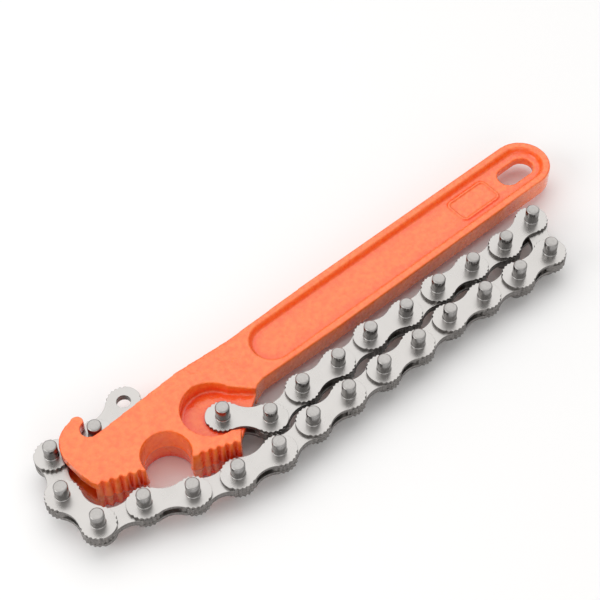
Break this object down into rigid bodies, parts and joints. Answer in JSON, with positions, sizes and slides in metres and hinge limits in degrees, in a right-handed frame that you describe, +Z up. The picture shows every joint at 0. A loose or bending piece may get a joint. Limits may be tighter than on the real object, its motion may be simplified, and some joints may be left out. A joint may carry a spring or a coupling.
{
  "type": "chain oil filter wrench",
  "caption": "Cast wrench with a serrated jaw, a long I-section handle with a hanging hole, and a toothed leaf chain that hooks over its nose to grip a round oil filter.",
  "frame": {"origin": "on the surface that the wrench lies on, under the middle of its footprint with the chain folded", "axes": "+X along the handle towards the hanging hole, +Y towards the hook side, +Z up out of the face"},
  "size_m": [0.2454, 0.0672, 0.0179],
  "materials": {
    "orange_enamel": "gloss",
    "plate_steel": "satin",
    "pin_steel": "satin"
  },
  "bodies": {
    "casting": {"wrench_head": "orange_enamel", "wrench_handle": "orange_enamel", "nose_cheek_upper": "orange_enamel", "nose_cheek_lower": "orange_enamel"},
    "outer_link_01": {"outer_plate_upper_01": "plate_steel", "outer_plate_lower_01": "plate_steel", "link_pins_01": "pin_steel"},
    "inner_link_01": {"inner_plates_01": "plate_steel"},
    "outer_link_02": {"outer_plate_upper_02": "plate_steel", "outer_plate_lower_02": "plate_steel", "link_pins_02": "pin_steel"},
    "inner_link_02": {"inner_plates_02": "plate_steel"},
    "outer_link_03": {"outer_plate_upper_03": "plate_steel", "outer_plate_lower_03": "plate_steel", "link_pins_03": "pin_steel"},
    "inner_link_03": {"inner_plates_03": "plate_steel"},
    "outer_link_04": {"outer_plate_upper_04": "plate_steel", "outer_plate_lower_04": "plate_steel", "link_pins_04": "pin_steel"},
    "inner_link_04": {"inner_plates_04": "plate_steel"},
    "outer_link_05": {"outer_plate_upper_05": "plate_steel", "outer_plate_lower_05": "plate_steel", "link_pins_05": "pin_steel"},
    "inner_link_05": {"inner_plates_05": "plate_steel"},
    "outer_link_06": {"outer_plate_upper_06": "plate_steel", "outer_plate_lower_06": "plate_steel", "link_pins_06": "pin_steel"},
    "inner_link_06": {"inner_plates_06": "plate_steel"},
    "outer_link_07": {"outer_plate_upper_07": "plate_steel", "outer_plate_lower_07": "plate_steel", "link_pins_07": "pin_steel"},
    "inner_link_07": {"inner_plates_07": "plate_steel"},
    "outer_link_08": {"outer_plate_upper_08": "plate_steel", "outer_plate_lower_08": "plate_steel", "link_pins_08": "pin_steel"},
    "inner_link_08": {"inner_plates_08": "plate_steel"},
    "outer_link_09": {"outer_plate_upper_09": "plate_steel", "outer_plate_lower_09": "plate_steel", "link_pins_09": "pin_steel"},
    "inner_link_09": {"inner_plates_09": "plate_steel"},
    "outer_link_10": {"outer_plate_upper_10": "plate_steel", "outer_plate_lower_10": "plate_steel", "link_pins_10": "pin_steel"},
    "inner_link_10": {"inner_plates_10": "plate_steel"},
    "outer_link_11": {"outer_plate_upper_11": "plate_steel", "outer_plate_lower_11": "plate_steel", "link_pins_11": "pin_steel"},
    "inner_link_11": {"inner_plates_11": "plate_steel"},
    "outer_link_12": {"outer_plate_upper_12": "plate_steel", "outer_plate_lower_12": "plate_steel", "link_pins_12": "pin_steel"},
    "inner_link_12": {"inner_plates_12": "plate_steel"},
    "outer_link_13": {"outer_plate_upper_13": "plate_steel", "outer_plate_lower_13": "plate_steel", "link_pins_13": "pin_steel"},
    "inner_link_13": {"inner_plates_13": "plate_steel"}
  },
  "joints": [
    {"name": "pin_01_pivot", "type": "hinge", "parent": "casting", "child": "outer_link_01", "pos_m": [-0.05437, -0.00204, 0.00895], "axis": [0, 0, 1], "range_deg": [-21.5, 0]},
    {"name": "pin_02_pivot", "type": "hinge", "parent": "outer_link_01", "child": "inner_link_01", "pos_m": [-0.04194, -0.01364, 0.00895], "axis": [0, 0, 1], "range_deg": [-185, 85]},
    {"name": "pin_03_pivot", "type": "hinge", "parent": "inner_link_01", "child": "outer_link_02", "pos_m": [-0.02506, -0.01156, 0.00895], "axis": [0, 0, 1], "range_deg": [-24, 0]},
    {"name": "pin_04_pivot", "type": "hinge", "parent": "outer_link_02", "child": "inner_link_02", "pos_m": [-0.00807, -0.01186, 0.00895], "axis": [0, 0, 1], "range_deg": [-12, 0]},
    {"name": "pin_05_pivot", "type": "hinge", "parent": "inner_link_02", "child": "outer_link_03", "pos_m": [0.00889, -0.01067, 0.00895], "axis": [0, 0, 1], "range_deg": [-127, 143]},
    {"name": "pin_06_pivot", "type": "hinge", "parent": "outer_link_03", "child": "inner_link_03", "pos_m": [0.02585, -0.01186, 0.00895], "axis": [0, 0, 1], "range_deg": [-140.5, 129.5]},
    {"name": "pin_07_pivot", "type": "hinge", "parent": "inner_link_03", "child": "outer_link_04", "pos_m": [0.04285, -0.01142, 0.00895], "axis": [0, 0, 1], "range_deg": [-129.5, 140.5]},
    {"name": "pin_08_pivot", "type": "hinge", "parent": "outer_link_04", "child": "inner_link_04", "pos_m": [0.0598, -0.0126, 0.00895], "axis": [0, 0, 1], "range_deg": [-136, 134]},
    {"name": "pin_09_pivot", "type": "hinge", "parent": "inner_link_04", "child": "outer_link_05", "pos_m": [0.07678, -0.01349, 0.00895], "axis": [0, 0, 1], "range_deg": [-145.5, 124.5]},
    {"name": "pin_10_pivot", "type": "hinge", "parent": "outer_link_05", "child": "inner_link_05", "pos_m": [0.09364, -0.01127, 0.00895], "axis": [0, 0, 1], "range_deg": [-16, 254]},
    {"name": "pin_11_pivot", "type": "hinge", "parent": "inner_link_05", "child": "outer_link_06", "pos_m": [0.08741, -0.02709, 0.00895], "axis": [0, 0, 1], "range_deg": [-66.5, 203.5]},
    {"name": "pin_12_pivot", "type": "hinge", "parent": "outer_link_06", "child": "inner_link_06", "pos_m": [0.07041, -0.02709, 0.00895], "axis": [0, 0, 1], "range_deg": [-129.5, 140.5]},
    {"name": "pin_13_pivot", "type": "hinge", "parent": "inner_link_06", "child": "outer_link_07", "pos_m": [0.05348, -0.02546, 0.00895], "axis": [0, 0, 1], "range_deg": [-136, 134]},
    {"name": "pin_14_pivot", "type": "hinge", "parent": "outer_link_07", "child": "inner_link_07", "pos_m": [0.03654, -0.02413, 0.00895], "axis": [0, 0, 1], "range_deg": [-142.5, 127.5]},
    {"name": "pin_15_pivot", "type": "hinge", "parent": "inner_link_07", "child": "outer_link_08", "pos_m": [0.01956, -0.02502, 0.00895], "axis": [0, 0, 1], "range_deg": [-131.5, 138.5]},
    {"name": "pin_16_pivot", "type": "hinge", "parent": "outer_link_08", "child": "inner_link_08", "pos_m": [0.00256, -0.02487, 0.00895], "axis": [0, 0, 1], "range_deg": [-134.5, 135.5]},
    {"name": "pin_17_pivot", "type": "hinge", "parent": "inner_link_08", "child": "outer_link_09", "pos_m": [-0.01444, -0.02457, 0.00895], "axis": [0, 0, 1], "range_deg": [-136.5, 133.5]},
    {"name": "pin_18_pivot", "type": "hinge", "parent": "outer_link_09", "child": "inner_link_09", "pos_m": [-0.03144, -0.02472, 0.00895], "axis": [0, 0, 1], "range_deg": [-138.8, 131.2]},
    {"name": "pin_19_pivot", "type": "hinge", "parent": "inner_link_09", "child": "outer_link_10", "pos_m": [-0.04839, -0.02599, 0.00895], "axis": [0, 0, 1], "range_deg": [-123.2, 146.8]},
    {"name": "pin_20_pivot", "type": "hinge", "parent": "outer_link_10", "child": "inner_link_10", "pos_m": [-0.06524, -0.02377, 0.00895], "axis": [0, 0, 1], "range_deg": [-127, 143]},
    {"name": "pin_21_pivot", "type": "hinge", "parent": "inner_link_10", "child": "outer_link_11", "pos_m": [-0.08163, -0.01923, 0.00895], "axis": [0, 0, 1], "range_deg": [-123.5, 146.5]},
    {"name": "pin_22_pivot", "type": "hinge", "parent": "outer_link_11", "child": "inner_link_11", "pos_m": [-0.09677, -0.01151, 0.00895], "axis": [0, 0, 1], "range_deg": [-147.5, 122.5]},
    {"name": "pin_23_pivot", "type": "hinge", "parent": "inner_link_11", "child": "outer_link_12", "pos_m": [-0.11323, -0.00726, 0.00895], "axis": [0, 0, 1], "range_deg": [-69.5, 200.5]},
    {"name": "pin_24_pivot", "type": "hinge", "parent": "outer_link_12", "child": "inner_link_12", "pos_m": [-0.11618, 0.00948, 0.00895], "axis": [0, 0, 1], "range_deg": [-102, 168]},
    {"name": "pin_25_pivot", "type": "hinge", "parent": "inner_link_12", "child": "outer_link_13", "pos_m": [-0.10954, 0.02513, 0.00895], "axis": [0, 0, 1], "range_deg": [-56.5, 213.5]},
    {"name": "pin_26_pivot", "type": "hinge", "parent": "outer_link_13", "child": "inner_link_13", "pos_m": [-0.09288, 0.02174, 0.00895], "axis": [0, 0, 1], "range_deg": [-2, 95]}
  ],
  "couplings": [
    {"joint": "pin_02_pivot", "follows": "pin_01_pivot", "ratio": 0.66},
    {"joint": "pin_05_pivot", "follows": "pin_01_pivot", "ratio": 0.52},
    {"joint": "pin_06_pivot", "follows": "pin_01_pivot", "ratio": 0.33},
    {"joint": "pin_07_pivot", "follows": "pin_01_pivot", "ratio": 1.99},
    {"joint": "pin_08_pivot", "follows": "pin_04_pivot", "ratio": -1},
    {"joint": "pin_09_pivot", "follows": "pin_03_pivot", "ratio": -1},
    {"joint": "pin_10_pivot", "follows": "pin_01_pivot", "ratio": -1.25},
    {"joint": "pin_11_pivot", "follows": "pin_01_pivot", "ratio": -1.25},
    {"joint": "pin_12_pivot", "follows": "pin_03_pivot", "ratio": 1},
    {"joint": "pin_13_pivot", "follows": "pin_04_pivot", "ratio": 1},
    {"joint": "pin_14_pivot", "follows": "pin_01_pivot", "ratio": -0.45},
    {"joint": "pin_15_pivot", "follows": "pin_01_pivot", "ratio": -0.23},
    {"joint": "pin_16_pivot", "follows": "pin_01_pivot", "ratio": 0.63},
    {"joint": "pin_17_pivot", "follows": "pin_04_pivot", "ratio": -1},
    {"joint": "pin_18_pivot", "follows": "pin_03_pivot", "ratio": -1},
    {"joint": "pin_19_pivot", "follows": "pin_01_pivot", "ratio": 0.54},
    {"joint": "pin_20_pivot", "follows": "pin_01_pivot", "ratio": 0.32},
    {"joint": "pin_21_pivot", "follows": "pin_01_pivot", "ratio": -0.21},
    {"joint": "pin_22_pivot", "follows": "pin_01_pivot", "ratio": 1.92},
    {"joint": "pin_23_pivot", "follows": "pin_01_pivot", "ratio": -2.32},
    {"joint": "pin_24_pivot", "follows": "pin_01_pivot", "ratio": -1.9},
    {"joint": "pin_25_pivot", "follows": "pin_01_pivot", "ratio": -3.7}
  ]
}
